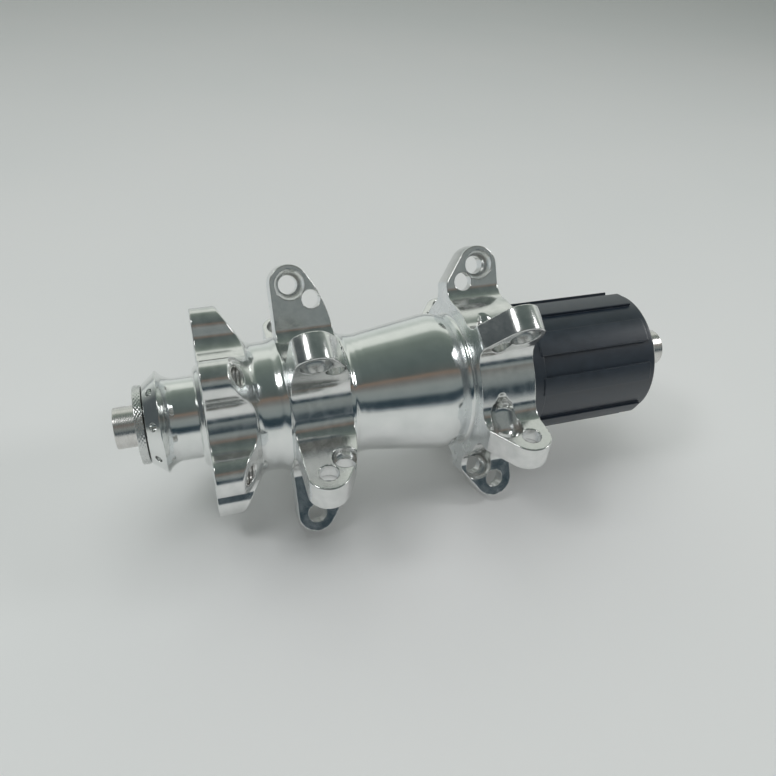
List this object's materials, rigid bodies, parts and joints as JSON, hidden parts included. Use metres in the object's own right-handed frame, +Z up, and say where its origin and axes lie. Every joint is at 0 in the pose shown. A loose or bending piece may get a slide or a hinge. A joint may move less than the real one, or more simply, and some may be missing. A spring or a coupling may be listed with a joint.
{
  "type": "bicycle hub",
  "caption": "Rear wheel hub with disc mount, lugged flanges for straight spokes, splined cassette carrier, ratchet and cartridge bearings.",
  "frame": {"origin": "on the hub axis, half way between the two dropout faces", "axes": "+Y along the hub axis towards the disc side, -Y towards the cassette, +Z up with the hub lying on its lugs"},
  "size_m": [0.0666, 0.145, 0.0604],
  "materials": {
    "polished_aluminium": "machined and polished",
    "turned_aluminium": "turned",
    "spacer_aluminium": "satin",
    "black_anodised": "satin hard anodising",
    "hard_steel": "hardened and oiled",
    "spring_steel": "spring temper",
    "bearing_steel": "ground",
    "seal_rubber": "moulded"
  },
  "bodies": {
    "axle_assembly": {"axle": "turned_aluminium", "left_end_cap": "polished_aluminium", "right_end_cap": "polished_aluminium", "left_o_ring": "seal_rubber", "right_o_ring": "seal_rubber", "axle_spacer": "spacer_aluminium", "drive_side_spacer": "spacer_aluminium", "freehub_spacer": "spacer_aluminium", "left_bearing_inner_race": "bearing_steel", "right_bearing_inner_race": "bearing_steel", "freehub_inner_bearing_inner_race": "bearing_steel", "freehub_outer_bearing_inner_race": "bearing_steel"},
    "lock_ring": {"preload_lock_ring": "turned_aluminium"},
    "shell_assembly": {"hub_shell": "polished_aluminium", "left_dust_cover": "polished_aluminium", "drive_ring": "hard_steel", "freehub_seal": "seal_rubber", "left_bearing_outer_race": "bearing_steel", "left_bearing_disc_side_seal": "seal_rubber", "left_bearing_drive_side_seal": "seal_rubber", "right_bearing_outer_race": "bearing_steel", "right_bearing_disc_side_seal": "seal_rubber", "right_bearing_drive_side_seal": "seal_rubber"},
    "freehub_assembly": {"freehub_body": "black_anodised", "freehub_snap_ring": "spring_steel", "pawl_spring": "spring_steel", "freehub_inner_bearing_outer_race": "bearing_steel", "freehub_inner_bearing_disc_side_seal": "seal_rubber", "freehub_inner_bearing_drive_side_seal": "seal_rubber", "freehub_outer_bearing_outer_race": "bearing_steel", "freehub_outer_bearing_disc_side_seal": "seal_rubber", "freehub_outer_bearing_drive_side_seal": "seal_rubber"},
    "pawl_1": {"pawl_1": "hard_steel"},
    "pawl_2": {"pawl_2": "hard_steel"},
    "pawl_3": {"pawl_3": "hard_steel"},
    "left_bearing_cage": {"left_bearing_balls": "bearing_steel"},
    "right_bearing_cage": {"right_bearing_balls": "bearing_steel"},
    "freehub_inner_bearing_cage": {"freehub_inner_bearing_balls": "bearing_steel"},
    "freehub_outer_bearing_cage": {"freehub_outer_bearing_balls": "bearing_steel"}
  },
  "joints": [
    {"name": "shell_spin", "type": "hinge", "parent": "axle_assembly", "child": "shell_assembly", "pos_m": [0, 0, 0], "axis": [0, 1, 0], "continuous": true},
    {"name": "freewheel", "type": "hinge", "parent": "shell_assembly", "child": "freehub_assembly", "pos_m": [0, -0.04, 0], "axis": [0, 1, 0], "continuous": true},
    {"name": "lock_ring_turn", "type": "hinge", "parent": "axle_assembly", "child": "lock_ring", "pos_m": [0, 0.0665, 0], "axis": [0, 1, 0], "range_deg": [-90, 90]},
    {"name": "pawl_1_pivot", "type": "hinge", "parent": "freehub_assembly", "child": "pawl_1", "pos_m": [0.00112, -0.0201, 0.01225], "axis": [0, 1, 0], "range_deg": [0, 13], "stiffness_Nm_per_rad": 0.002, "springref_deg": -17.19},
    {"name": "pawl_2_pivot", "type": "hinge", "parent": "freehub_assembly", "child": "pawl_2", "pos_m": [0.01005, -0.0201, -0.00709], "axis": [0, 1, 0], "range_deg": [0, 13], "stiffness_Nm_per_rad": 0.002, "springref_deg": -17.19},
    {"name": "pawl_3_pivot", "type": "hinge", "parent": "freehub_assembly", "child": "pawl_3", "pos_m": [-0.01117, -0.0201, -0.00516], "axis": [0, 1, 0], "range_deg": [0, 13], "stiffness_Nm_per_rad": 0.002, "springref_deg": -17.19},
    {"name": "left_bearing_cage_spin", "type": "hinge", "parent": "axle_assembly", "child": "left_bearing_cage", "pos_m": [0, 0.047, 0], "axis": [0, 1, 0], "continuous": true},
    {"name": "right_bearing_cage_spin", "type": "hinge", "parent": "axle_assembly", "child": "right_bearing_cage", "pos_m": [0, -0.0125, 0], "axis": [0, 1, 0], "continuous": true},
    {"name": "freehub_inner_bearing_cage_spin", "type": "hinge", "parent": "axle_assembly", "child": "freehub_inner_bearing_cage", "pos_m": [0, -0.0285, 0], "axis": [0, 1, 0], "continuous": true},
    {"name": "freehub_outer_bearing_cage_spin", "type": "hinge", "parent": "axle_assembly", "child": "freehub_outer_bearing_cage", "pos_m": [0, -0.0485, 0], "axis": [0, 1, 0], "continuous": true}
  ],
  "couplings": [
    {"joint": "left_bearing_cage_spin", "follows": "shell_spin", "ratio": 0.57},
    {"joint": "right_bearing_cage_spin", "follows": "shell_spin", "ratio": 0.57},
    {"joint": "freehub_inner_bearing_cage_spin", "follows": "shell_spin", "ratio": 0.57},
    {"joint": "freehub_outer_bearing_cage_spin", "follows": "shell_spin", "ratio": 0.57}
  ]
}
